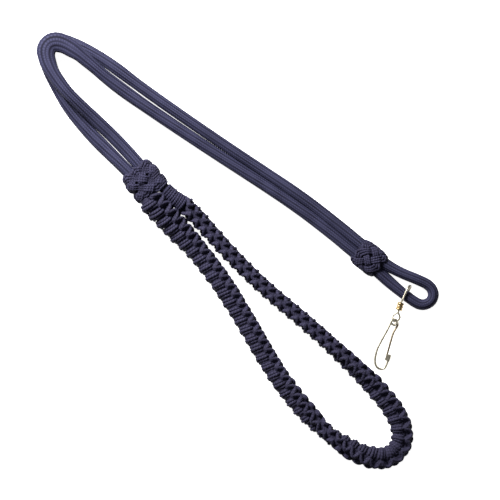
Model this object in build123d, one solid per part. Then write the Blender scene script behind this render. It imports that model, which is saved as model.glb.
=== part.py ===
from build123d import *
import math
import os

# Shoulder lanyard of smooth round cord, laid out flat, in millimetres.
# A doubled cord runs from a large woven Turk's head knot, round a bight, through a small
# Turk's head to an eye that carries a swivelling spring hook. Below the large knot hangs an
# arm loop: a cord core covered in knotted square sennit, whipped where it enters the knot.
# +Z is up, the lanyard lies on z = 0, and the origin is the middle of its footprint.

# ---- cord sections ----
CORD_D = 7.8            # smooth cord, outside its braided sheath
SHEATH_WALL = 1.4
FIT = 0.05              # radial room between a sheath or sennit and what fills it
LOOP_CORE_D = 7.0       # cord that the arm loop is worked over
SENNIT_D = 13.0         # mean outside diameter of the knotted sennit
WHIPPING_D = 11.4
WHIPPING_LENGTH = 17.0
KNOT_GAP = 1.3          # from a knot's end face to the sennit or whipping

# ---- knots ----
LARGE_KNOT_CENTRE = (-62.9, 46.4)
LARGE_KNOT_AXIS = (0.629, -0.778)
LARGE_KNOT_SIZE = (26.0, 21.0, 23.6)     # across, high, along its axis
LARGE_KNOT_CORNER = 6.0
SMALL_KNOT_CENTRE = (89.3, -5.6)
SMALL_KNOT_AXIS = (0.791, -0.612)
SMALL_KNOT_SIZE = (20.0, 13.4, 20.6)
SMALL_KNOT_CORNER = 5.0
KNOT_END_ROUNDING = 3.0
KNOT_BITE = 26.0        # length of cord that can lie inside a knot, measured from its end
STRANDS_IN_SMALL_KNOT = (slice(15, 19), slice(25, 29))   # the cord's route points about the small knot
LOOP_ENTRY = 12.1       # length of the loop core inside the large knot, at its first end
LOOP_EXIT = 14.2        # the same at its last end

# ---- seizing: thread wound round the cord's two ends inside the large knot ----
SEIZING_WALL = 0.7
SEIZING_LENGTH = 8.0
SEIZING_START = 0.4     # from the knot's middle, on the side of the bight
CORD_END_SPACING = 8.2  # between the two cord ends
CORD_END_OFFSET = 0.2   # of that pair from the knot's axis
CORD_END_Z = 6.0

# ---- paths and cuts ----
CORNER_SHARE = 0.45     # of the shorter run beside a corner, that the corner's arc takes up
SHORTEST_EDGE = 0.01    # a piece of a path shorter than this is left out
OVERRUN = 1.0           # how far a cutting shape reaches past what it cuts

# ---- spring hook ----
WIRE_D = 1.5
EYE_WIRE_D = 1.4
GATE_WIRE_D = 1.4
HOOK_WIRE_D = 1.6
HOOK_END_ROUNDING = 0.6
GATE_END_ROUNDING = 0.5
HANGER_AT = (113.5, -30.7, 6.0)          # on the axis of the eye's lower cord
HANGER_ACROSS = (0.447, 0.894)           # level direction of the hanger's plane
HANGER_NEAR = 4.8                        # from the cord's axis to the wire, barrel side
HANGER_REACH = 7.2                       # the same on the far side
HANGER_LIFT = 4.9                        # the same over and under the cord
HANGER_SKEW = (-0.6, 1.8)                # of the far side, along the cord, top and bottom
LEG_LIFT = 0.88                          # each leg of the hanger from the barrel's axis
LEG_BEND_Y = 2.85
LEG_END_Y = 0.8
BARREL_AT = (110.4, -37.8, 4.4)
HOOK_DIRECTION = (0.29, 0.957)           # level direction from the hook's tip to the barrel
HOOK_TILT = 4.35                         # degrees, the barrel is higher than the tip
BARREL_TOP = 2.05
BARREL_TURN = 1.8                        # length of each of its rounded turns
BARREL_TURNS = 3
BARREL_WAIST_R = 1.8
BARREL_R = 2.35
HEAD_D = 2.5
HEAD_LENGTH = 1.4
HEAD_Y = -0.3                            # middle of the swivel's head, inside the barrel
SHANK_D = 1.6
RUNNING = 0.06                           # radial clearance of the swivel's shank
END_PLAY = 0.1
EYE_NECK_R = 1.1
EYE_NECK_Y = -4.6
COIL_AT = (-0.5, -12.0)                  # middle of the spring coil
COIL_R = 1.95                            # to the middle of its wire
COIL_LIFT = 0.87                         # of each ring from the hook's middle plane
EYE_LIFT = 2.55                          # of the eye's wire over and under the coil
EYE_OFFSET = 0.45                        # of the eye's wire from the middle of the coil
EYE_LEFT_LEG = ((-2.7, -8.0, 1.0), (-2.6, -10.3, EYE_LIFT))      # corners from its neck to the coil
EYE_RIGHT_LEG = ((2.5, -8.0, -1.0), (2.0, -10.3, -EYE_LIFT))
NOSE_X = 3.05
CATCH_ENDS = (-34.2, -38.6)
CATCH_OPEN_X = 1.0
CATCH_SLOT = 1.6                         # height of the catch's slot
CATCH_SHEET = 0.45                       # thickness of the catch's metal

# Corner points of the hook's wires: X across, Y towards the barrel, Z up from the
# hook's middle plane, measured from the middle of the barrel.
HOOK_ROUTE = [
    (-2.45, -12.0, 0.87), (-3.2, -17.2, 0.7), (-6.3, -32.6, 0.0), (-5.9, -39.3, 0.0),
    (-4.8, -42.8, 0.0), (-2.8, -45.0, 0.0), (0.2, -45.4, 0.0), (2.4, -44.2, 0.0),
    (NOSE_X, -40.6, 0.0), (NOSE_X, -35.0, 0.0),
]
GATE_ROUTE = [(1.15, -10.96, -0.87), (2.56, -13.2, -0.8), (0.98, -18.7, 0.0), (1.4, -38.3, 0.0)]

# Corner points of the smooth cord's route: knot, bight, knot, eye and back.
CORD_ROUTE = [
    (-59.5, 36.0, 6.0), (-72.0, 51.5, 6.0), (-86.0, 66.0, 4.2), (-100.5, 80.0, 3.9),
    (-113.0, 97.0, 3.9), (-122.5, 112.0, 3.9), (-129.0, 124.5, 3.9), (-132.5, 135.5, 3.9),
    (-129.5, 142.0, 3.9), (-123.0, 144.5, 3.9), (-110.0, 139.0, 3.9), (-90.5, 128.5, 3.9),
    (-60.5, 107.5, 3.9), (-10.5, 73.0, 3.9), (42.0, 38.0, 3.9), (68.5, 16.5, 5.0),
    (83.5, 4.0, 6.4), (99.0, -8.0, 6.4), (110.5, -15.5, 6.3), (122.0, -20.0, 6.2),
    (130.5, -24.0, 6.0), (133.5, -29.5, 6.0), (131.5, -35.5, 6.0), (125.0, -38.0, 6.0),
    (118.0, -34.0, 6.0), (105.0, -24.5, 6.0), (94.0, -14.5, 6.4), (78.5, -2.5, 6.4),
    (63.5, 10.0, 5.0), (37.5, 29.5, 3.9), (-18.5, 66.5, 3.9), (-65.5, 98.5, 3.9),
    (-87.5, 115.5, 5.8), (-99.5, 126.0, 9.4), (-111.0, 136.0, 11.7), (-121.0, 142.0, 11.9),
    (-128.0, 140.5, 11.9), (-131.0, 134.0, 11.9), (-127.0, 122.5, 12.0), (-117.5, 109.0, 11.6),
    (-106.5, 98.0, 9.9), (-95.0, 87.0, 6.4), (-80.5, 73.0, 4.6), (-65.5, 56.5, 6.0),
    (-53.0, 41.0, 6.0),
]

# Corner points of the arm loop's route: out of the large knot, round and back.
LOOP_ROUTE = [
    (-67.0, 43.5, 14.4), (-58.0, 32.0, 14.4), (-47.5, 20.5, 11.2), (-36.0, 9.5, 7.2),
    (-21.0, -7.5, 6.5), (-4.0, -31.5, 6.5), (24.0, -80.5, 6.5), (42.0, -105.5, 6.5),
    (63.5, -127.0, 6.5), (85.0, -140.0, 6.5), (102.5, -142.5, 6.5), (113.0, -131.5, 6.5),
    (110.5, -114.5, 6.5), (98.5, -98.5, 6.5), (75.5, -75.0, 6.5), (47.0, -49.5, 6.5),
    (19.0, -26.5, 6.5), (-4.0, -4.0, 6.5), (-20.0, 14.0, 7.0), (-32.0, 27.5, 9.6),
    (-48.0, 40.5, 14.4), (-58.5, 53.0, 14.4),
]


def corner_radii(points):
    """Radius at each corner: a share of the shorter run over the tangent of half the turn."""
    radii = []
    for before, corner, after in zip(points, points[1:], points[2:]):
        run_in = Vector(corner) - Vector(before)
        run_out = Vector(after) - Vector(corner)
        shorter = min(run_in.length, run_out.length)
        turn = math.radians(run_in.get_angle(run_out))
        radii.append(CORNER_SHARE * shorter / math.tan(turn / 2))
    return radii


def wire_path(points):
    return FilletPolyline(*points, radius=corner_radii(points))


def cord_path(name, points):
    print(name, "corner radii:", " ".join(f"{radius:.1f}" for radius in corner_radii(points)))
    return wire_path(points)


def stretch(path, start, end):
    """The part of a path between two distances from its first end."""
    kept = []
    passed = 0.0
    for edge in path.edges():
        low = max(start - passed, 0.0)
        high = min(end - passed, edge.length)
        if high - low > SHORTEST_EDGE:
            kept.append(edge.trim(low / edge.length, high / edge.length))
        passed += edge.length
    return Wire(kept)


def tube(path, outer_d, bore_d=0.0):
    """Round tube or rod along a path."""
    section = Circle(outer_d / 2)
    if bore_d:
        section -= Circle(bore_d / 2)
    placed = Plane(origin=path @ 0, z_dir=path % 0) * section
    return sweep(placed, path=path)


def compare_volume(name, solid, path, outer_d, bore_d=0.0):
    expected = math.pi / 4 * (outer_d ** 2 - bore_d ** 2) * path.length
    print(f"{name}: length {path.length:.1f}, volume / (section x length) {solid.volume / expected:.4f}")


def save(node, solid):
    export_step(solid, f"parts/{node}.step")


def knot_plane(centre, axis, z):
    """Plane across a knot: X is across, Y is up and Z runs along the knot."""
    return Plane(origin=(*centre, z), x_dir=(-axis[1], axis[0], 0), z_dir=(*axis, 0))


def knot_body(centre, axis, size, corner):
    across, high, along = size
    plane = knot_plane(centre, axis, high / 2)
    outline = plane * RectangleRounded(across, high, corner)
    body = extrude(outline, amount=along / 2, both=True)
    ends = body.faces().sort_by(Axis(plane.origin, plane.z_dir))
    return fillet(ends[0].edges() + ends[-1].edges(), KNOT_END_ROUNDING)


def seizing_band(wall, filled=False):
    """Flat-sided ring round the two cord ends, or the whole room that it takes up."""
    start = knot_plane(LARGE_KNOT_CENTRE, LARGE_KNOT_AXIS, CORD_END_Z).offset(-SEIZING_START)
    inner_r = CORD_D / 2 + FIT
    section = SlotCenterToCenter(CORD_END_SPACING, 2 * (inner_r + wall))
    if not filled:
        section -= SlotCenterToCenter(CORD_END_SPACING, 2 * inner_r)
    return extrude(start * (Pos(CORD_END_OFFSET, 0) * section), amount=SEIZING_LENGTH)


def make_cordage(cord, loop):
    sheath_bore = CORD_D - 2 * SHEATH_WALL
    filler_d = sheath_bore - 2 * FIT
    sheath = tube(cord, CORD_D, sheath_bore)
    filler = tube(cord, filler_d)
    compare_volume("cord_sheath", sheath, cord, CORD_D, sheath_bore)
    compare_volume("cord_filler", filler, cord, filler_d)
    save("cord_sheath", sheath)
    save("cord_filler", filler)

    loop_core = tube(loop, LOOP_CORE_D)
    compare_volume("arm_loop_core", loop_core, loop, LOOP_CORE_D)
    save("arm_loop_core", loop_core)

    bore = LOOP_CORE_D + 2 * FIT
    whipping_end = loop.length - LOOP_EXIT - KNOT_GAP
    whipping_start = whipping_end - WHIPPING_LENGTH
    sennit_path = stretch(loop, LOOP_ENTRY + KNOT_GAP, whipping_start - 2 * FIT)
    sennit = tube(sennit_path, SENNIT_D, bore)
    compare_volume("arm_loop_sennit", sennit, sennit_path, SENNIT_D, bore)
    save("arm_loop_sennit", sennit)
    whipping_path = stretch(loop, whipping_start, whipping_end)
    whipping = tube(whipping_path, WHIPPING_D, bore)
    compare_volume("loop_whipping", whipping, whipping_path, WHIPPING_D, bore)
    save("loop_whipping", whipping)


def make_large_knot(cord, loop):
    body = knot_body(LARGE_KNOT_CENTRE, LARGE_KNOT_AXIS, LARGE_KNOT_SIZE, LARGE_KNOT_CORNER)
    clear = 2 * FIT
    body -= tube(stretch(cord, 0, KNOT_BITE), CORD_D + clear)
    body -= tube(stretch(cord, cord.length - KNOT_BITE, cord.length), CORD_D + clear)
    body -= tube(stretch(loop, 0, KNOT_BITE), LOOP_CORE_D + clear)
    body -= tube(stretch(loop, loop.length - KNOT_BITE, loop.length), LOOP_CORE_D + clear)
    body -= seizing_band(SEIZING_WALL + FIT, filled=True)
    save("large_turks_head", body)
    save("cord_end_seizing", seizing_band(SEIZING_WALL))


def make_small_knot():
    body = knot_body(SMALL_KNOT_CENTRE, SMALL_KNOT_AXIS, SMALL_KNOT_SIZE, SMALL_KNOT_CORNER)
    for inside in STRANDS_IN_SMALL_KNOT:
        body -= tube(wire_path(CORD_ROUTE[inside]), CORD_D + 2 * FIT)
    save("small_turks_head", body)


def hook_plane():
    tilt = math.radians(HOOK_TILT)
    across = Vector(HOOK_DIRECTION[1], -HOOK_DIRECTION[0], 0)
    along = Vector(*HOOK_DIRECTION, 0).normalized() * math.cos(tilt) + Vector(0, 0, math.sin(tilt))
    return Plane(origin=BARREL_AT, x_dir=across, z_dir=across.cross(along))


def rod_along_y(diameter, low, high):
    return Pos(0, (low + high) / 2, 0) * Rot(90, 0, 0) * Cylinder(diameter / 2, high - low)


def hanger_path(plane):
    """From inside the barrel, over the cord, back under it and into the barrel again."""
    middle = Vector(HANGER_AT)
    across = Vector(*HANGER_ACROSS, 0)
    along = Vector(HANGER_ACROSS[1], -HANGER_ACROSS[0], 0)
    lift = Vector(0, 0, HANGER_LIFT)
    near = middle - across * HANGER_NEAR
    far = middle + across * HANGER_REACH
    points = [
        plane.from_local_coords(Vector(0, LEG_END_Y, LEG_LIFT)),
        plane.from_local_coords(Vector(0, LEG_BEND_Y, LEG_LIFT)),
        near + lift,
        far + lift + along * HANGER_SKEW[0],
        far - lift + along * HANGER_SKEW[1],
        near - lift,
        plane.from_local_coords(Vector(0, LEG_BEND_Y, -LEG_LIFT)),
        plane.from_local_coords(Vector(0, LEG_END_Y, -LEG_LIFT)),
    ]
    return wire_path(points)


def make_barrel(plane, hanger):
    """Collar of rounded turns, holding the hanger's legs and the swivel's head."""
    bottom = BARREL_TOP - BARREL_TURNS * BARREL_TURN
    outline = Polyline((BARREL_WAIST_R, BARREL_TOP), (0, BARREL_TOP), (0, bottom), (BARREL_WAIST_R, bottom))
    for turn in range(BARREL_TURNS):
        top = BARREL_TOP - turn * BARREL_TURN
        crest = (BARREL_R, top - BARREL_TURN / 2)
        outline += ThreePointArc((BARREL_WAIST_R, top), crest, (BARREL_WAIST_R, top - BARREL_TURN))
    barrel = revolve(make_face(outline), Axis.Y)
    room = HEAD_LENGTH / 2 + END_PLAY
    barrel -= rod_along_y(HEAD_D + 2 * RUNNING, HEAD_Y - room, HEAD_Y + room)
    barrel -= rod_along_y(SHANK_D + 2 * RUNNING, bottom - OVERRUN, HEAD_Y)
    return plane * barrel - tube(hanger, WIRE_D + 2 * FIT)


def make_swivel_eye(plane):
    head = rod_along_y(HEAD_D, HEAD_Y - HEAD_LENGTH / 2, HEAD_Y + HEAD_LENGTH / 2)
    shank = rod_along_y(SHANK_D, EYE_NECK_Y, HEAD_Y)
    neck = Pos(0, EYE_NECK_Y, 0) * Sphere(EYE_NECK_R)
    through_x = COIL_AT[0]
    through_y = COIL_AT[1] + EYE_OFFSET
    eye = head + shank + neck
    for corners, lift in ((EYE_LEFT_LEG, EYE_LIFT), (EYE_RIGHT_LEG, -EYE_LIFT)):
        over_coil = (through_x, through_y, lift)
        in_coil = (through_x, through_y, 0)
        eye += tube(wire_path([(0, EYE_NECK_Y, 0), *corners, over_coil, in_coil]), EYE_WIRE_D)
    return plane * eye


def make_coiled_wire(plane, lift, route, diameter, end_radius):
    """A ring of the spring coil with the wire that leaves it, rounded at its free end."""
    ring = Pos(*COIL_AT, lift) * Torus(COIL_R, WIRE_D / 2)
    wire = tube(wire_path(route), diameter)
    wire = fillet(wire.faces().sort_by_distance(route[-1])[0].edges(), end_radius)
    return plane * (ring + wire)


def make_nose_catch(plane):
    """Folded clip, closed round the hook's nose and open towards the hook's leg."""
    inner_r = CATCH_SLOT / 2
    outer_r = inner_r + CATCH_SHEET
    length = CATCH_ENDS[0] - CATCH_ENDS[1]
    sides = (CATCH_OPEN_X + NOSE_X) / 2
    across = NOSE_X - CATCH_OPEN_X
    middle = (CATCH_ENDS[0] + CATCH_ENDS[1]) / 2
    clip = Pos(sides, middle, 0) * Box(across, length, 2 * outer_r)
    clip += Pos(NOSE_X, 0, 0) * rod_along_y(2 * outer_r, CATCH_ENDS[1], CATCH_ENDS[0])
    slot = Box(across + 2 * OVERRUN, length + 2 * OVERRUN, 2 * inner_r)
    clip -= Pos(sides - OVERRUN, middle, 0) * slot
    clip -= Pos(NOSE_X, 0, 0) * rod_along_y(2 * inner_r, CATCH_ENDS[1] - OVERRUN, CATCH_ENDS[0] + OVERRUN)
    return plane * clip


def make_hook():
    plane = hook_plane()
    hanger = hanger_path(plane)
    save("hanger_wire", tube(hanger, WIRE_D))
    save("swivel_barrel", make_barrel(plane, hanger))
    save("swivel_eye", make_swivel_eye(plane))
    save("hook_frame", make_coiled_wire(plane, COIL_LIFT, HOOK_ROUTE, HOOK_WIRE_D, HOOK_END_ROUNDING))
    save("gate_wire", make_coiled_wire(plane, -COIL_LIFT, GATE_ROUTE, GATE_WIRE_D, GATE_END_ROUNDING))
    save("nose_catch", make_nose_catch(plane))


if __name__ == "__main__":
    os.makedirs("parts", exist_ok=True)
    cord = cord_path("smooth cord", CORD_ROUTE)
    loop = cord_path("arm loop", LOOP_ROUTE)
    make_cordage(cord, loop)
    make_large_knot(cord, loop)
    make_small_knot()
    make_hook()
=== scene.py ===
import math

import bpy
import numpy as np
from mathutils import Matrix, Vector


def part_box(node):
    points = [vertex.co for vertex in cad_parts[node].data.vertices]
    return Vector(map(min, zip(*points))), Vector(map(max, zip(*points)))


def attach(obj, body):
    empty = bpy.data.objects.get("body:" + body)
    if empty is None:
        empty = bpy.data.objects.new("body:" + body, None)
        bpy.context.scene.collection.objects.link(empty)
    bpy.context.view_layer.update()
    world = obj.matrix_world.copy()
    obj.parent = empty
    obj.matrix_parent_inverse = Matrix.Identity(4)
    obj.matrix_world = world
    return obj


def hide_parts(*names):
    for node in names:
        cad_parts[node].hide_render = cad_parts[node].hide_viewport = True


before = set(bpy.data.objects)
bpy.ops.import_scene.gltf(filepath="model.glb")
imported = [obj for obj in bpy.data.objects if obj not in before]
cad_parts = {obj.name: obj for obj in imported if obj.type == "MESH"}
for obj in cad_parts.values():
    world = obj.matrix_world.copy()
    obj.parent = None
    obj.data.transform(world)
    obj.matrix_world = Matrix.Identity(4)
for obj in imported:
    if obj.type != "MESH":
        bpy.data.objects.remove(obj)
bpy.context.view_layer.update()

# A navy shoulder lanyard on a white table, seen from straight above. Lengths are in metres.
MM = 0.001
UP = np.array([0.0, 0.0, 1.0])
FULL_TURN = 2 * np.pi

# ---- the two cords' routes: the CAD model's points, some of them moved by up to 2 mm ----
CORD_ROUTE = [
    (-0.0595, 0.0360, 0.0060), (-0.0722, 0.0513, 0.0060), (-0.0866, 0.0655, 0.0042),
    (-0.1008, 0.0798, 0.0039), (-0.1145, 0.0962, 0.0039), (-0.1235, 0.1115, 0.0039),
    (-0.1298, 0.1242, 0.0039), (-0.1325, 0.1355, 0.0039), (-0.1295, 0.1420, 0.0039),
    (-0.1230, 0.1445, 0.0039), (-0.1095, 0.1400, 0.0039), (-0.0902, 0.1292, 0.0039),
    (-0.0609, 0.1069, 0.0039), (-0.0109, 0.0723, 0.0039), (0.0417, 0.0376, 0.0039),
    (0.0685, 0.0165, 0.0050), (0.0835, 0.0040, 0.0064), (0.0984, -0.0088, 0.0064),
    (0.1105, -0.0155, 0.0063), (0.1220, -0.0200, 0.0062), (0.1305, -0.0240, 0.0060),
    (0.1335, -0.0295, 0.0060), (0.1315, -0.0355, 0.0060), (0.1250, -0.0380, 0.0060),
    (0.1180, -0.0340, 0.0060), (0.1053, -0.0240, 0.0060), (0.0945, -0.0138, 0.0064),
    (0.0785, -0.0017, 0.0064), (0.0635, 0.0115, 0.0052), (0.0377, 0.0314, 0.0041),
    (-0.0183, 0.0677, 0.0040), (-0.0653, 0.0992, 0.0040), (-0.0875, 0.1155, 0.0058),
    (-0.0995, 0.1260, 0.0094), (-0.1110, 0.1359, 0.0117), (-0.1207, 0.1412, 0.0119),
    (-0.1276, 0.1401, 0.0119), (-0.1304, 0.1337, 0.0119), (-0.1270, 0.1225, 0.0120),
    (-0.1175, 0.1090, 0.0116), (-0.1065, 0.0980, 0.0099), (-0.0950, 0.0870, 0.0064),
    (-0.0805, 0.0730, 0.0046), (-0.0655, 0.0565, 0.0060), (-0.0530, 0.0410, 0.0060),
]
LOOP_ROUTE = [
    (-0.0670, 0.0435, 0.0144), (-0.0574, 0.0326, 0.0144), (-0.0469, 0.0211, 0.0112),
    (-0.0360, 0.0095, 0.0072), (-0.0210, -0.0075, 0.0060), (-0.0040, -0.0315, 0.0060),
    (0.0240, -0.0805, 0.0062), (0.0420, -0.1055, 0.0066), (0.0635, -0.1270, 0.0074),
    (0.0850, -0.1400, 0.0072), (0.1025, -0.1425, 0.0064), (0.1130, -0.1315, 0.0062),
    (0.1105, -0.1145, 0.0064), (0.0985, -0.0985, 0.0068), (0.0755, -0.0750, 0.0074),
    (0.0470, -0.0495, 0.0076), (0.0190, -0.0265, 0.0076), (-0.0040, -0.0040, 0.0076),
    (-0.0200, 0.0140, 0.0080), (-0.0320, 0.0275, 0.0100), (-0.0487, 0.0399, 0.0144),
    (-0.0585, 0.0530, 0.0144),
]

# ---- the smooth cord ----
CORD_WALES = 14             # lengthwise rows of stitches round it
SIDES_PER_WALE = 3
STITCH = 1.6 * MM
STITCH_SLANT = 1.1          # how far a stitch's edges lag behind its middle, in stitches
BANDS = 7                   # broad lengthwise swellings under the stitches
CORD_RELIEF = 0.38 * MM     # how far the surface stands out for a braid height of 1
CORD_STEP = 0.4 * MM        # between its line's points, and its rings
WANDER = 0.35               # how far the rows wander round the cord, in radians
WANDER_LENGTH = 0.09        # length of cord for one radian of that wave
SPIN_LENGTH = 0.16          # length of cord in which the rows turn by one radian
# Half of the cord's width and height in mm along its line: it is pressed flat and wide
# where it lies over itself at the bight, and pulled thinner towards the small knot.
CORD_HALF_WIDTH = [
    (0, 4.2), (25, 4.4), (50, 4.8), (75, 4.5), (105, 4.0), (130, 3.9), (165, 4.1), (185, 4.4), (205, 4.0),
    (310, 4.0), (335, 4.2), (405, 4.3), (425, 3.8), (475, 3.8), (495, 4.3), (520, 3.9), (560, 4.2),
    (600, 4.1), (690, 4.3), (715, 4.6), (735, 4.3), (748, 4.8), (759, 6.2), (768, 6.95), (777, 6.8),
    (785, 5.9), (797, 4.7), (815, 4.2), (845, 4.6), (903, 4.4),
]
CORD_HALF_HEIGHT = [
    (0, 3.9), (300, 3.9), (520, 3.85), (700, 3.9), (745, 3.6), (765, 3.3), (785, 3.5), (815, 3.9), (903, 3.9),
]

# ---- the arm loop's sennit ----
LOOP_STEP = 0.3 * MM
PLY_R = 1.12 * MM           # one ply of the working cord
SENNIT_PITCH = 7.25 * MM
SENNIT_START = 11.6 * MM
# Which way the sennit's ridge faces, in degrees: 0 is to the left along the line, 90 is up.
RIDGE_FACES = [
    (0, 0), (155, 0), (190, 35), (215, 90), (235, 140), (252, 178), (288, 180), (308, 160), (335, 115),
    (365, 90), (528, 90),
]
# The sennit's size along the line, as a share of its full section.
SENNIT_SCALE = [
    (0, 1.27), (22, 1.27), (40, 1.19), (62, 1.0), (150, 0.93), (190, 0.96), (225, 1.02), (262, 0.98),
    (300, 0.96), (340, 1.0), (420, 0.97), (465, 1.02), (497, 1.14), (528, 1.14),
]
BAR_PLIES = (-1, 0, 1)
BAR_CENTRE = -1.8 * MM      # of the bars' round, away from the ridge
BAR_R = 4.35 * MM
BAR_SWELL = 0.75 * MM       # how much the middle ply stands above its neighbours
BAR_OPENING = 38            # degrees each side of the ridge that a bar leaves open
BAR_DIVE = 62               # degrees from the ridge where a bar starts to sink in
BAR_DIVE_DEPTH = 2.2 * MM
BAR_RINGS = 22
BAR_LEAN = 0.8 * MM
PLY_SPACING = 1.95 * MM
PLY_ROUGHNESS = 0.16 * MM   # a slow unevenness of each ply's path
PLY_SHIFT = 0.18 * MM       # the most that a ply lies off its even place
# An arc over the ridge: out and across in mm, and along in pitches of the sennit.
RIDGE_ARC = [
    (1.0, 3.0, -0.62), (2.9, 4.2, -0.46), (5.3, 3.3, -0.27), (6.5, 2.2, 0.0),
    (5.3, 3.3, 0.27), (2.9, 4.2, 0.46), (1.0, 3.0, 0.62),
]
ARC_RINGS = 17
ARC_PLY_STEP = 1.15         # how much further in the second ply of an arc lies, in mm
ARC_OFFSET = 0.42           # how far the right-hand arcs lie behind the left-hand ones, in pitches
CORE_CORDS = 8
CORE_CORD_R = 1.2 * MM
CORE_TWIST = 9.0 * MM       # length of core in which its cords turn by one radian
CORE_RADIUS = [(0, 3.6), (13, 3.6), (22, 3.9), (490, 3.9), (500, 3.6), (530, 3.6)]
CORE_STRIDE = 8             # every how manyth point of the line the core's rings stand on
LOW_PADDING_R = 4.5 * MM    # of the round under the bars
HIGH_PADDING = 2.6 * MM     # out from the line to the round under the arcs
HIGH_PADDING_R = 2.8 * MM
END_BINDING_LENGTH = 13.0 * MM
END_BINDING_PITCH = 1.5 * MM
END_BINDING_R = 0.75 * MM

# ---- the whipping ----
WHIPPING_END = 14.5 * MM    # from the far end of the arm loop's line
WHIPPING_LENGTH = 17.0 * MM
WHIPPING_TURNS = 9
WHIPPING_R = (5.1, 3.6)     # mm to the middle of the thread, at the sennit and at the knot
WHIPPING_THREAD_R = 1.04 * MM
TAIL_R = 0.5 * MM
TAIL = np.array([(0.0, 0.0, 0.0), (1.4, -0.3, 0.4), (2.6, 0.2, -0.6)]) * MM

# ---- the Turk's heads ----
LARGE_KNOT_AXIS = (0.629, -0.778)
SMALL_KNOT_AXIS = (0.791, -0.612)
LARGE_KNOT_SIZE = (26.0 * MM, 21.0 * MM, 24.0 * MM)     # across, high and long
SMALL_KNOT_SIZE = (20.0 * MM, 13.4 * MM, 21.0 * MM)
SQUARENESS = 2.6            # 2 is round, more is squarer
PLY_STEEPNESS = 1.22        # how much further apart the plies are along the knot than square to themselves
PLY_GAP = 1.95              # between the plies' middles, in ply radii
RINGS_PER_PASS = 44
CROSSING_SQUARENESS = 1.7   # how quickly a strand changes from over to under

# ---- the seizing inside the large knot ----
SEIZING_TURNS = 8
SEIZING_LENGTH = 7.2 * MM
SEIZING_THREAD_R = 0.36 * MM
SEIZED_CORD_R = 4.28 * MM   # to the middle of the thread
SEIZED_CORD_OFFSET = 4.1 * MM


# ---------------------------------------------------------------- lines

class Line:
    """A smooth line with its length, read from a NURBS spline through a route's points."""

    def __init__(self, name, route, step):
        raw = spline_points(name, route)
        gone = travelled(raw)
        self.length = float(gone[-1])
        self.distance = np.linspace(0.0, self.length, int(self.length / step) + 1)
        self.points = looked_up(self.distance, gone, raw)
        self.tangent = unit(np.gradient(self.points, axis=0))

    def at(self, distance):
        """Points, tangents, left-hand directions and upward directions at some distances."""
        distance = np.atleast_1d(np.asarray(distance, float))
        point = looked_up(distance, self.distance, self.points)
        tangent = unit(looked_up(distance, self.distance, self.tangent))
        left = unit(np.cross(UP, tangent))
        return point, tangent, left, np.cross(tangent, left)


def spline_points(name, route):
    """Points along an open NURBS spline whose control points are the route's."""
    curve = bpy.data.curves.new(name, "CURVE")
    curve.dimensions = "3D"
    curve.resolution_u = 24
    spline = curve.splines.new("NURBS")
    spline.points.add(len(route) - 1)
    for point, place in zip(spline.points, route):
        point.co = (*place, 1.0)
    spline.order_u = 3
    spline.use_endpoint_u = True
    holder = bpy.data.objects.new(name, curve)
    mesh = bpy.data.meshes.new_from_object(holder)
    raw = np.array([vertex.co[:] for vertex in mesh.vertices])
    bpy.data.objects.remove(holder)
    bpy.data.curves.remove(curve)
    bpy.data.meshes.remove(mesh)
    runs = np.linalg.norm(np.diff(raw, axis=0), axis=1)
    return raw[np.concatenate(([True], runs > 1e-7))]


def unit(vectors):
    return vectors / np.linalg.norm(vectors, axis=-1, keepdims=True)


def travelled(points):
    """How far each point is along the run of points."""
    runs = np.linalg.norm(np.diff(points, axis=0), axis=1)
    return np.concatenate(([0.0], np.cumsum(runs)))


def looked_up(places, known_places, vectors):
    """Vectors at some places, between those at the known places."""
    return np.stack([np.interp(places, known_places, vectors[:, k]) for k in range(3)], axis=1)


def keyed(distance, keys):
    """Smooth value along a line from (distance in mm, value) pairs."""
    places = [place * MM for place, _ in keys]
    values = np.array([value for _, value in keys], float)
    share = np.interp(distance, places, np.arange(len(keys)))
    low = np.clip(np.floor(share).astype(int), 0, len(keys) - 2)
    part = share - low
    part = part * part * (3 - 2 * part)
    return values[low] * (1 - part) + values[low + 1] * part


def along_path(chosen, count):
    """Smooth points through a few chosen ones (Catmull-Rom), evenly shared between them."""
    chosen = np.asarray(chosen, float)
    padded = np.vstack([2 * chosen[0] - chosen[1], chosen, 2 * chosen[-1] - chosen[-2]])
    place = np.linspace(0, len(chosen) - 1, count)
    start = np.clip(np.floor(place).astype(int), 0, len(chosen) - 2)
    t = (place - start)[:, None]
    a, b, c, d = (padded[start + k] for k in range(4))
    return 0.5 * (2 * b + (c - a) * t + (2 * a - 5 * b + 4 * c - d) * t ** 2
                  + (3 * b - a - 3 * c + d) * t ** 3)


# ---------------------------------------------------------------- meshes

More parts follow.
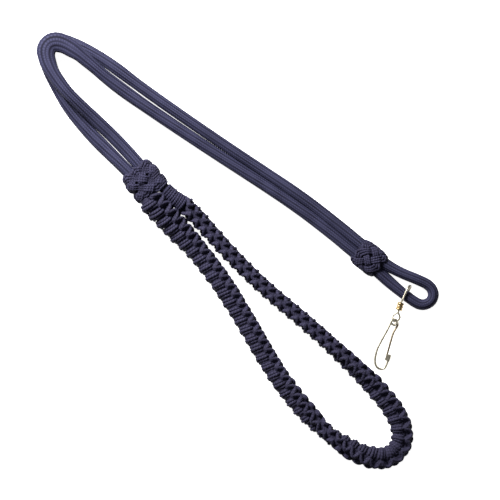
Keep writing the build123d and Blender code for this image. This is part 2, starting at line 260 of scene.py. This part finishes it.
class Builder:
    """Collects tubes and surfaces, then makes one mesh with a per-vertex strand attribute.

    The attribute holds the distance along the strand, the share of a turn round it, and
    a value for colour: a strand's random tone, mostly with painted shade in it, or how
    high the surface stands, which the braid's material turns into painted shade."""

    def __init__(self):
        self.vertices = []
        self.faces = []
        self.marks = []
        self.count = 0

    def grid(self, points, marks, caps=True):
        """Rings of points, shaped (rings, sides, 3), joined into a closed tube."""
        rings, sides = points.shape[:2]
        base = self.count
        self.vertices.append(points.reshape(-1, 3))
        self.marks.append(marks.reshape(-1, 3))
        ring = np.arange(rings - 1)[:, None] * sides
        side = np.arange(sides)[None, :]
        after = (side + 1) % sides
        corners = [ring + side, ring + after, ring + sides + after, ring + sides + side]
        self.faces += (np.stack(corners, axis=-1).reshape(-1, 4) + base).tolist()
        self.count += rings * sides
        if caps:
            self.cap(points[0], marks[0], base, flip=False)
            self.cap(points[-1], marks[-1], base + (rings - 1) * sides, flip=True)

    def cap(self, ring, marks, base, flip):
        """A fan of triangles over a tube's end ring."""
        sides = len(ring)
        self.vertices.append(ring.mean(axis=0)[None, :])
        self.marks.append(marks.mean(axis=0)[None, :])
        centre = self.count
        self.count += 1
        for side in range(sides):
            pair = (base + (side + 1) % sides, base + side)
            self.faces.append([centre, *(reversed(pair) if flip else pair)])

    def tube(self, points, radius, sides=8, value=0.5, closed=False):
        """Round tube along points, narrower at open ends. radius is one number or one for each point."""
        points = np.asarray(points, float)
        radius = np.broadcast_to(np.asarray(radius, float), (len(points),)).copy()
        value = np.broadcast_to(np.asarray(value, float), (len(points),))
        if closed:
            tangent = unit(np.roll(points, -1, axis=0) - np.roll(points, 1, axis=0))
        else:
            tangent = unit(np.gradient(points, axis=0))
            radius[[0, -1]] *= 0.45
        normal = transported(tangent)
        gone = travelled(points)
        if closed:
            points, tangent, normal, radius, gone = close_ring(points, tangent, normal, radius, gone)
            value = np.append(value, value[0])
        other = np.cross(tangent, normal)
        angle = np.linspace(0, FULL_TURN, sides, endpoint=False)
        round_it = (np.cos(angle)[None, :, None] * normal[:, None, :]
                    + np.sin(angle)[None, :, None] * other[:, None, :])
        rings = points[:, None, :] + radius[:, None, None] * round_it
        self.grid(rings, marked(rings, gone[:, None], angle / FULL_TURN, value[:, None]), caps=not closed)

    def piece(self, name, material):
        mesh = bpy.data.meshes.new(name)
        mesh.from_pydata(np.concatenate(self.vertices).tolist(), [], self.faces)
        attribute = mesh.attributes.new("strand", "FLOAT_VECTOR", "POINT")
        attribute.data.foreach_set("vector", np.concatenate(self.marks).ravel().astype(np.float32))
        mesh.polygons.foreach_set("use_smooth", [True] * len(mesh.polygons))
        mesh.materials.append(material)
        mesh.update()
        made = bpy.data.objects.new(name, mesh)
        bpy.context.scene.collection.objects.link(made)
        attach(made, "root")
        return made


def marked(rings, distance, turn, value):
    """The strand attribute's three numbers for every point of some rings."""
    marks = np.empty(rings.shape)
    marks[..., 0] = distance
    marks[..., 1] = turn
    marks[..., 2] = value
    return marks


def transported(tangent):
    """A normal at each point that doesn't twist about the line."""
    normal = np.empty_like(tangent)
    start = UP if abs(tangent[0][2]) < 0.9 else np.array([1.0, 0.0, 0.0])
    current = start - tangent[0] * start.dot(tangent[0])
    for index, along in enumerate(tangent):
        current = current - along * current.dot(along)
        current = current / np.linalg.norm(current)
        normal[index] = current
    return normal


def close_ring(points, tangent, normal, radius, gone):
    """Repeats the first ring at the end, and spreads the twist left over along the line."""
    count = len(points)
    first, last = normal[0], normal[-1]
    last = last - tangent[0] * last.dot(tangent[0])
    last = last / np.linalg.norm(last)
    twist = math.atan2(np.cross(last, first).dot(tangent[0]), last.dot(first))
    share = np.arange(count) / count * twist
    other = np.cross(tangent, normal)
    normal = normal * np.cos(share)[:, None] + other * np.sin(share)[:, None]
    closing = np.linalg.norm(points[-1] - points[0])
    points, tangent, normal = (np.vstack([rows, rows[:1]]) for rows in (points, tangent, normal))
    return points, tangent, normal, np.append(radius, radius[0]), np.append(gone, gone[-1] + closing)


# ---------------------------------------------------------------- materials

class Nodes:
    """Short calls for building a material's nodes."""

    def __init__(self, name):
        self.material = bpy.data.materials.new(name)
        self.material.use_nodes = True
        self.tree = self.material.node_tree
        self.shader = self.tree.nodes["Principled BSDF"]

    def add(self, kind, **values):
        node = self.tree.nodes.new(kind)
        for key, value in values.items():
            setattr(node, key, value)
        return node

    def link(self, source, target):
        self.tree.links.new(source, target)

    def math(self, operation, *values):
        node = self.add("ShaderNodeMath", operation=operation)
        for socket, value in zip(node.inputs, values):
            if isinstance(value, (int, float)):
                socket.default_value = value
            else:
                self.link(value, socket)
        return node.outputs[0]

    def noise(self, scale, detail):
        node = self.add("ShaderNodeTexNoise")
        node.inputs["Scale"].default_value = scale
        node.inputs["Detail"].default_value = detail
        coordinates = self.add("ShaderNodeTexCoord").outputs["Object"]
        self.link(coordinates, node.inputs["Vector"])
        return node.outputs["Fac"]

    def ramp(self, value, stops):
        node = self.add("ShaderNodeValToRGB")
        elements = node.color_ramp.elements
        while len(elements) < len(stops):
            elements.new(0.5)
        for element, (place, colour) in zip(elements, stops):
            element.position = place
            element.color = (*colour, 1.0)
        self.link(value, node.inputs["Fac"])
        return node.outputs["Color"]

    def bump(self, height, strength, distance):
        node = self.add("ShaderNodeBump")
        node.inputs["Strength"].default_value = strength
        node.inputs["Distance"].default_value = distance
        self.link(height, node.inputs["Height"])
        self.link(node.outputs["Normal"], self.shader.inputs["Normal"])

    def set(self, **values):
        """Values on the shader's own sockets, with _ for the spaces in their names."""
        for key, value in values.items():
            self.shader.inputs[key.replace("_", " ")].default_value = value

    def colour(self, output):
        self.link(output, self.shader.inputs["Base Color"])

    def cloth(self, roughness, sheen):
        """The dull finish of cotton and rayon cord."""
        self.set(Roughness=roughness, Sheen_Weight=sheen, Sheen_Roughness=0.4,
                 Sheen_Tint=(0.45, 0.48, 0.85, 1.0), Specular_IOR_Level=0.1)

    def strand(self):
        """Distance along a strand, share of a turn round it, and its value for colour, which carries painted
        shade.
        """
        node = self.add("ShaderNodeAttribute", attribute_name="strand")
        split = self.add("ShaderNodeSeparateXYZ")
        self.link(node.outputs["Vector"], split.inputs[0])
        return split.outputs


def braid_material():
    """Fine braided cord: painted shade darkens it between its stitches and bands, where its surface lies
    lower; with stray fibres.
    """
    nodes = Nodes("braided_navy")
    _, _, height = nodes.strand()
    fibres = nodes.noise(2600, 3.0)
    patches = nodes.noise(60, 2.0)
    # Painted shade: the colour follows the braid's height, darker in its grooves; fibres and patches add the
    # cord's own tone.
    shade = nodes.math("MULTIPLY_ADD", height, 0.78, nodes.math("MULTIPLY", fibres, 0.22))
    shade = nodes.math("ADD", shade, nodes.math("MULTIPLY", patches, 0.22))
    dark, middle, light = (0.0030, 0.0029, 0.0070), (0.0215, 0.0212, 0.045), (0.070, 0.070, 0.138)
    nodes.colour(nodes.ramp(shade, [(0.34, dark), (0.66, middle), (0.98, light)]))
    nodes.cloth(roughness=0.7, sheen=0.05)
    nodes.bump(fibres, 0.35, 0.12 * MM)
    return nodes.material


def yarn_material(name, twist, dark, middle, light):
    """Twisted yarn: slanting grooves along each ply with painted shade in them, fibres, colour patches, and
    painted shade from each strand's value.
    """
    nodes = Nodes(name)
    along, around, value = nodes.strand()
    turns = nodes.math("MULTIPLY_ADD", along, 1.0 / twist, around)
    wave = nodes.math("SINE", nodes.math("MULTIPLY", turns, FULL_TURN))
    groove = nodes.math("MULTIPLY_ADD", wave, 0.5, 0.5)
    fibres = nodes.noise(2200, 3.0)
    patches = nodes.noise(70, 2.0)
    # Painted shade: darker in the twist grooves and where a strand's value is low; fibres and patches are the
    # yarn's own tone.
    shade = nodes.math("MULTIPLY_ADD", groove, 0.3, nodes.math("MULTIPLY", fibres, 0.3))
    shade = nodes.math("ADD", shade, nodes.math("MULTIPLY", patches, 0.2))
    shade = nodes.math("ADD", shade, nodes.math("MULTIPLY", value, 0.2))
    nodes.colour(nodes.ramp(shade, [(0.15, dark), (0.5, middle), (0.85, light)]))
    nodes.cloth(roughness=0.75, sheen=0.06)
    nodes.bump(nodes.math("MULTIPLY_ADD", fibres, 0.35, groove), 0.6, 0.18 * MM)
    return nodes.material


def metal_material(name, low, high, roughness):
    """Plated wire with faint drawing marks and dull patches."""
    nodes = Nodes(name)
    marks = nodes.noise(1800, 3.0)
    patches = nodes.noise(220, 2.0)
    nodes.colour(nodes.ramp(patches, [(0.3, low), (0.7, high)]))
    nodes.set(Metallic=1.0)
    rough = nodes.math("MULTIPLY_ADD", patches, 0.18, roughness)
    nodes.link(rough, nodes.shader.inputs["Roughness"])
    nodes.bump(marks, 0.05, 0.03 * MM)
    return nodes.material


def dress_metal():
    nickel = metal_material("nickel_wire", (0.44, 0.40, 0.31), (0.72, 0.68, 0.56), 0.38)
    steel = metal_material("gate_steel", (0.26, 0.205, 0.13), (0.44, 0.37, 0.26), 0.34)
    brass = metal_material("worn_brass", (0.22, 0.14, 0.06), (0.60, 0.46, 0.24), 0.3)
    for node in ("hanger_wire", "swivel_eye", "hook_frame", "nose_catch"):
        dress(node, nickel)
    dress("gate_wire", steel)
    dress("swivel_barrel", brass)


def dress(node, material):
    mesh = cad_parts[node].data
    mesh.materials.clear()
    mesh.materials.append(material)


# ---------------------------------------------------------------- the smooth cord

def stitch_height(distance, turn):
    """Height of the braid at distance and turn (0 to 1): 0.14 in its grooves, up to 0.92 on stitches."""
    row = turn * CORD_WALES
    across = row - np.floor(row) - 0.5
    phase = distance / STITCH + STITCH_SLANT * np.abs(across) + 0.5 * (np.floor(row) % 2)
    stitch = 0.5 + 0.5 * np.cos(FULL_TURN * phase)
    ridge = 1 - (2 * np.abs(across)) ** 2.4
    band = 1 - np.abs(np.cos(np.pi * BANDS * turn)) ** 7
    return 0.14 + ridge * (0.30 + 0.24 * stitch) + 0.24 * band


def make_smooth_cord(line, material):
    distance = line.distance
    point, _, left, up = line.at(distance)
    angle = np.linspace(0, FULL_TURN, CORD_WALES * SIDES_PER_WALE, endpoint=False)
    drift = WANDER * np.sin(distance / WANDER_LENGTH) + distance / SPIN_LENGTH
    turn = (angle[None, :] / FULL_TURN + drift[:, None] / FULL_TURN) % 1.0
    height = stitch_height(distance[:, None], turn)
    sunk = CORD_RELIEF * (1 - height)
    wide = keyed(distance, CORD_HALF_WIDTH)[:, None] * MM - sunk
    tall = keyed(distance, CORD_HALF_HEIGHT)[:, None] * MM - sunk
    rings = (point[:, None, :] + left[:, None, :] * (wide * np.cos(angle))[..., None]
             + up[:, None, :] * (tall * np.sin(angle))[..., None])
    builder = Builder()
    # The braid's height goes to the material, which paints shade in the grooves from it.
    builder.grid(rings, marked(rings, distance[:, None], turn, height))
    return builder.piece("smooth_cord", material)


# ---------------------------------------------------------------- the arm loop

def in_section(line, distance, out, across):
    """Points in the sennit's section, above the table: out towards its ridge, and across."""
    distance = np.asarray(distance, float)
    point, _, left, up = line.at(distance)
    facing = np.radians(keyed(distance, RIDGE_FACES))[:, None]
    size = keyed(distance, SENNIT_SCALE)
    ridge = left * np.cos(facing) + up * np.sin(facing)
    side = up * np.cos(facing) - left * np.sin(facing)
    placed = point + ridge * (out * size)[:, None] + side * (across * size)[:, None]
    placed[:, 2] = np.maximum(placed[:, 2], PLY_R)
    return placed


def add_bar(builder, line, centre, random):
    """Plies that go round the core from one side of the ridge to the other."""
    degrees = np.linspace(BAR_OPENING, 360 - BAR_OPENING, BAR_RINGS)
    turn = np.radians(degrees)
    from_ridge = np.degrees(np.minimum(turn, FULL_TURN - turn))
    near_end = np.clip((BAR_DIVE - from_ridge) / (BAR_DIVE - BAR_OPENING), 0, 1)
    for ply in BAR_PLIES:
        swell = BAR_SWELL * (1 - abs(ply))
        rough = PLY_ROUGHNESS * np.sin(3 * turn + random.uniform(0, 6.3))
        radius = BAR_R + swell + rough - BAR_DIVE_DEPTH * near_end ** 2
        spread = ply * PLY_SPACING * (1 - 0.25 * near_end)
        lean = BAR_LEAN * np.cos(turn) * np.sign(np.sin(turn))
        distance = centre + spread + lean + random.uniform(-PLY_SHIFT, PLY_SHIFT)
        out = BAR_CENTRE + radius * np.cos(turn)
        across = radius * np.sin(turn)
        # A random tone for the ply, darkened by painted shade towards its ends, where it dives in.
        shade = random.uniform(0.35, 0.8) * (1 - 0.4 * near_end)
        thickness = PLY_R * random.uniform(0.95, 1.05)
        builder.tube(in_section(line, distance, out, across), thickness, value=shade)


def add_ridge_arc(builder, line, centre, side, random):
    """Two plies that loop out over the ridge and dive back under the next bar."""
    chosen = along_path(RIDGE_ARC, ARC_RINGS)
    from_top = np.abs(chosen[:, 2])
    for inward in (0.0, 1.0):
        out = (chosen[:, 0] - inward * ARC_PLY_STEP) * MM * random.uniform(0.97, 1.03)
        across = side * (chosen[:, 1] - inward * (1 - from_top)) * MM
        distance = centre + chosen[:, 2] * SENNIT_PITCH * (1 - 0.16 * inward)
        # A random tone for the ply, darkened by painted shade towards its ends, where it dives under the next
        # bar.
        shade = random.uniform(0.5, 0.95) * np.clip(1.25 - 1.5 * from_top, 0.3, 1)
        thickness = PLY_R * random.uniform(1.02, 1.12)
        builder.tube(in_section(line, distance, out, across), thickness, value=shade)


def add_core(builder, line):
    """What the bars are knotted round: a middle, two rounds of padding, and cords laid about the middle; the
    middle and the cords get the lowest values, as painted shade under the bars.
    """
    distance = line.distance[::CORE_STRIDE]
    point, _, left, up = line.at(distance)
    radius = keyed(distance, CORE_RADIUS) * MM
    # The middle's value of 0 and the cords' value of 0.1 are painted shade under the bars.
    builder.tube(point, radius - 1.3 * MM, sides=10, value=0.0)
    padded = (distance > 0.5 * SENNIT_START) & (distance < sennit_end(line))
    for out, thickness, sides in ((BAR_CENTRE, LOW_PADDING_R, 12), (HIGH_PADDING, HIGH_PADDING_R, 10)):
        out = np.full(padded.sum(), out)
        builder.tube(in_section(line, distance[padded], out, 0 * out), thickness, sides=sides, value=0.55)
    ring = (radius - 1.15 * MM)[:, None]
    for number in range(CORE_CORDS):
        turn = FULL_TURN * number / CORE_CORDS + distance / CORE_TWIST
        path = point + ring * (left * np.cos(turn)[:, None] + up * np.sin(turn)[:, None])
        builder.tube(path, CORE_CORD_R, sides=6, value=0.1)


def add_end_binding(builder, line):
    """Working cord wound tight round the last of the core, inside the large knot."""
    turns = int(END_BINDING_LENGTH / END_BINDING_PITCH)
    share = np.linspace(0, 1, turns * 24)
    point, _, left, up = line.at(line.length - END_BINDING_LENGTH * (1 - share))
    turn = share * turns * FULL_TURN
    radius = (CORE_RADIUS[-1][1] + 0.5) * MM
    wound = point + radius * (left * np.cos(turn)[:, None] + up * np.sin(turn)[:, None])
    builder.tube(wound, END_BINDING_R, value=0.3)


def sennit_end(line):
    """Where along the arm loop's line the sennit ends and the whipping starts."""
    return line.length - WHIPPING_END - WHIPPING_LENGTH


def make_sennit(line, material):
    random = np.random.default_rng(7)
    builder = Builder()
    add_core(builder, line)
    add_end_binding(builder, line)
    centre = SENNIT_START + SENNIT_PITCH / 2
    while centre < sennit_end(line) - 0.3 * SENNIT_PITCH:
        add_bar(builder, line, centre, random)
        add_ridge_arc(builder, line, centre, 1, random)
        if centre + SENNIT_PITCH < sennit_end(line):
            add_ridge_arc(builder, line, centre + ARC_OFFSET * SENNIT_PITCH, -1, random)
        centre += SENNIT_PITCH * random.uniform(0.97, 1.03)
    return builder.piece("knotted_sennit", material)


def make_whipping(line, material):
    """Thread wound from the end of the sennit to the knot, narrowing, with a short stray end."""
    start = sennit_end(line)
    share = np.linspace(0, 1, WHIPPING_TURNS * 28)
    point, _, left, up = line.at(start + 0.8 * MM + share * (WHIPPING_LENGTH - 1.2 * MM))
    uneven = 0.14 * np.sin(share * 23.0) + 0.16 * np.sin(share * 61.0) + 0.1 * np.sin(share * 97.0)
    widest, narrowest = WHIPPING_R
    radius = (widest - (widest - narrowest) * share ** 0.8 + uneven) * MM
    turn = share * WHIPPING_TURNS * FULL_TURN
    wound = point + left * (radius * np.cos(turn))[:, None] + up * (radius * np.sin(turn))[:, None]
    builder = Builder()
    builder.tube(wound, WHIPPING_THREAD_R, sides=10)
    place, _, left, up = line.at([start + 1.0 * MM])
    root = place[0] - left[0] * 4.2 * MM + up[0] * 3.0 * MM
    builder.tube(along_path(root + TAIL, 9), TAIL_R, value=0.4)
    return builder.piece("whipping_thread", material)


# ---------------------------------------------------------------- the Turk's heads

class Knot:
    """A woven knot round a rounded block that stands where its CAD node does."""

    def __init__(self, node, axis, size, leads, bights, ply_r, weave, shoulders, seed):
        low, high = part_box(node)
        self.centre = (np.array(low) + np.array(high)) / 2
        self.axis = unit(np.array([*axis, 0.0]))
        self.across = np.cross(UP, self.axis)
        self.size = size
        self.leads = leads
        self.bights = bights
        self.ply_r = ply_r
        self.plies = 3
        self.weave = weave
        self.shoulders = shoulders
        self.seed = seed

    def surface(self, turn, along, depth):
        """Points on the block: turn round it, distance along from its middle, depth inside."""
        wide, high, long = self.size
        cosine, sine = np.cos(turn), np.sin(turn)
        reach = (np.abs(cosine) ** SQUARENESS + np.abs(sine) ** SQUARENESS) ** (-1 / SQUARENESS)
        share = along / (long / 2)
        shoulder = 1 - np.where(share > 0, self.shoulders[1], self.shoulders[0]) * np.abs(share) ** 5
        across = (wide / 2 - depth) * reach * cosine * shoulder
        up = (high / 2 - depth) * reach * sine * shoulder
        return (self.centre + self.across * across[:, None] + UP * up[:, None]
                + self.axis * along[:, None])

    def strand(self, offset):
        """One ply of the whole knot, and a value of painted shade for it, lighter where it crosses over and
        darker where it passes under: it goes round once for each lead.
        """
        passes = 2 * self.bights
        place = np.linspace(0, passes, passes * RINGS_PER_PASS, endpoint=False)
        number = np.floor(place)
        part = place - number
        rising = number % 2 == 0
        triangle = np.where(rising, 2 * part - 1, 1 - 2 * part)
        wave = 0.5 * triangle + 0.5 * np.sin(triangle * np.pi / 2)
        turn = FULL_TURN * self.leads * place / passes
        apart = offset * PLY_STEEPNESS
        reach = self.size[2] / 2 - self.ply_r - (self.plies - 1) * self.ply_r * PLY_STEEPNESS
        shifted = part + np.where(rising, 1, -1) * apart / (4 * reach)
        crossing = np.cos(np.pi * self.leads * shifted) * np.where(rising, 1.0, -1.0)
        crossing = np.clip(CROSSING_SQUARENESS * crossing, -1, 1) * (1 - np.abs(triangle) ** 8)
        along = reach * wave + apart + self.wobble(turn) * (1 - np.abs(triangle) ** 4)
        depth = self.ply_r + self.weave * (1 - crossing)
        # Painted shade: lighter where the ply lies over, darker where it passes under.
        return self.surface(turn, along, depth), 0.5 + 0.35 * crossing

    def wobble(self, turn):
        """How far the strand strays from its even path."""
        return 0.35 * MM * np.sin(2.3 * turn + self.seed) + 0.2 * MM * np.sin(6.1 * turn + 2 * self.seed)

    def make_strands(self, name, material):
        builder = Builder()
        for ply in range(self.plies):
            path, shade = self.strand((ply - (self.plies - 1) / 2) * self.ply_r * PLY_GAP)
            builder.tube(path, self.ply_r, sides=9, value=shade, closed=True)
        return builder.piece(name, material)

    def make_filler(self, name, material):
        """The body inside the weave, given a low value so that it is coloured dark as painted shade."""
        share = np.linspace(-0.93, 0.93, 40) * self.size[2] / 2
        turn = np.linspace(0, FULL_TURN, 72, endpoint=False)
        depth = 2.0 * self.ply_r + 1.6 * self.weave
        rings = np.stack([self.surface(turn, np.full(turn.shape, value), depth) for value in share])
        builder = Builder()
        # The low value 0.15 is painted shade inside the knot.
        builder.grid(rings, marked(rings, share[:, None], turn / FULL_TURN, 0.15))
        return builder.piece(name, material)


def make_seizing(material):
    """Thread wound round the smooth cord's two ends inside the large knot."""
    low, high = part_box("cord_end_seizing")
    middle = (np.array(low) + np.array(high)) / 2
    axis = unit(np.array([*LARGE_KNOT_AXIS, 0.0]))
    across = np.cross(UP, axis)
    share = np.linspace(0, 1, SEIZING_TURNS * 40)
    angle = share * SEIZING_TURNS * FULL_TURN
    which_cord = np.sign(np.cos(angle)) * np.clip(np.abs(np.cos(angle)) * 3, 0, 1)
    sideways = which_cord * SEIZED_CORD_OFFSET + SEIZED_CORD_R * np.cos(angle)
    loop = (middle + across * sideways[:, None] + UP * (SEIZED_CORD_R * np.sin(angle))[:, None]
            + axis * ((share - 0.5) * SEIZING_LENGTH)[:, None])
    builder = Builder()
    builder.tube(loop, SEIZING_THREAD_R)
    return builder.piece("seizing_thread", material)


# ---------------------------------------------------------------- stage

def make_floor():
    """A white table that glows a little, so that the cords' shadows on it stay faint."""
    half = 3.0
    level = -0.15 * MM
    corners = [(-half, -half, level), (half, -half, level), (half, half, level), (-half, half, level)]
    mesh = bpy.data.meshes.new("table")
    mesh.from_pydata(corners, [], [(0, 1, 2, 3)])
    nodes = Nodes("white_table")
    nodes.set(Base_Color=(0.92, 0.92, 0.92, 1.0), Roughness=0.9, Emission_Color=(1.0, 1.0, 1.0, 1.0),
              Emission_Strength=0.95)
    mesh.materials.append(nodes.material)
    floor = bpy.data.objects.new("table", mesh)
    floor.visible_diffuse = False
    bpy.context.scene.collection.objects.link(floor)


def make_light(place, size, power):
    """A round softbox aimed at the middle of the table."""
    data = bpy.data.lights.new("softbox", "AREA")
    data.shape = "DISK"
    data.size = size
    data.energy = power
    light = bpy.data.objects.new("softbox", data)
    light.location = place
    light.rotation_euler = (-Vector(place)).to_track_quat("-Z", "Y").to_euler()
    bpy.context.scene.collection.objects.link(light)


def make_world():
    """Dim room: light from overhead, dark towards the horizon and below."""
    world = bpy.data.worlds.new("studio")
    world.use_nodes = True
    tree = world.node_tree
    direction = tree.nodes.new("ShaderNodeTexCoord")
    split = tree.nodes.new("ShaderNodeSeparateXYZ")
    ramp = tree.nodes.new("ShaderNodeValToRGB")
    horizon, overhead = ramp.color_ramp.elements
    horizon.position = 0.0
    horizon.color = (0.06, 0.06, 0.07, 1.0)
    overhead.position = 1.0
    overhead.color = (1.0, 1.0, 1.0, 1.0)
    tree.links.new(direction.outputs["Generated"], split.inputs[0])
    tree.links.new(split.outputs["Z"], ramp.inputs["Fac"])
    background = tree.nodes["Background"]
    tree.links.new(ramp.outputs["Color"], background.inputs["Color"])
    background.inputs["Strength"].default_value = 0.17
    bpy.context.scene.world = world


def make_stage():
    make_floor()
    make_light((-0.36, 0.56, 0.50), 0.40, 17)
    make_world()
    bpy.context.scene.view_settings.view_transform = "Standard"


def make_camera():
    """Straight above, far enough away that the view is almost without perspective."""
    height = 3.0
    view_width = 0.340
    data = bpy.data.cameras.new("camera")
    data.sensor_width = 36.0
    data.lens = data.sensor_width * height / view_width
    data.clip_end = 20.0
    camera = bpy.data.objects.new("camera", data)
    camera.location = (0.0085, -0.0001, height)
    bpy.context.scene.collection.objects.link(camera)
    bpy.context.scene.camera = camera


# ---------------------------------------------------------------- everything


def make_knots(material):
    """Both Turk's heads, each with a filler coloured dark as painted shade. Gives the two strand pieces."""
    large = Knot("large_turks_head", LARGE_KNOT_AXIS, LARGE_KNOT_SIZE, leads=5, bights=8,
                 ply_r=0.86 * MM, weave=0.75 * MM, shoulders=(0.34, 0.16), seed=3)
    small = Knot("small_turks_head", SMALL_KNOT_AXIS, SMALL_KNOT_SIZE, leads=4, bights=7,
                 ply_r=0.84 * MM, weave=0.62 * MM, shoulders=(0.25, 0.25), seed=4)
    large_strands = large.make_strands("large_knot_strands", material)
    large.make_filler("large_knot_filler", material)
    small_strands = small.make_strands("small_knot_strands", material)
    small.make_filler("small_knot_filler", material)
    return large_strands, small_strands


def main():
    make_camera()
    make_stage()
    braid = braid_material()
    sennit_yarn = yarn_material("sennit_yarn", 1.9 * MM, (0.0165, 0.0150, 0.0275),
                                (0.029, 0.0265, 0.052), (0.056, 0.052, 0.100))
    knot_yarn = yarn_material("knot_yarn", 1.7 * MM, (0.0095, 0.0086, 0.0170),
                              (0.026, 0.0240, 0.049), (0.060, 0.056, 0.109))
    thread = yarn_material("whipping_yarn", 1.4 * MM, (0.0080, 0.0070, 0.0145),
                           (0.026, 0.0240, 0.050), (0.072, 0.067, 0.131))

    cord_line = Line("cord_line", CORD_ROUTE, CORD_STEP)
    loop_line = Line("loop_line", LOOP_ROUTE, LOOP_STEP)
    cord = make_smooth_cord(cord_line, braid)
    sennit = make_sennit(loop_line, sennit_yarn)
    whipping = make_whipping(loop_line, thread)
    seizing = make_seizing(thread)
    large_strands, small_strands = make_knots(knot_yarn)

    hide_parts("cord_sheath", "cord_filler")
    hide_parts("arm_loop_sennit", "arm_loop_core")
    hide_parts("loop_whipping")
    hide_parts("cord_end_seizing")
    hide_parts("large_turks_head")
    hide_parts("small_turks_head")
    dress_metal()


main()
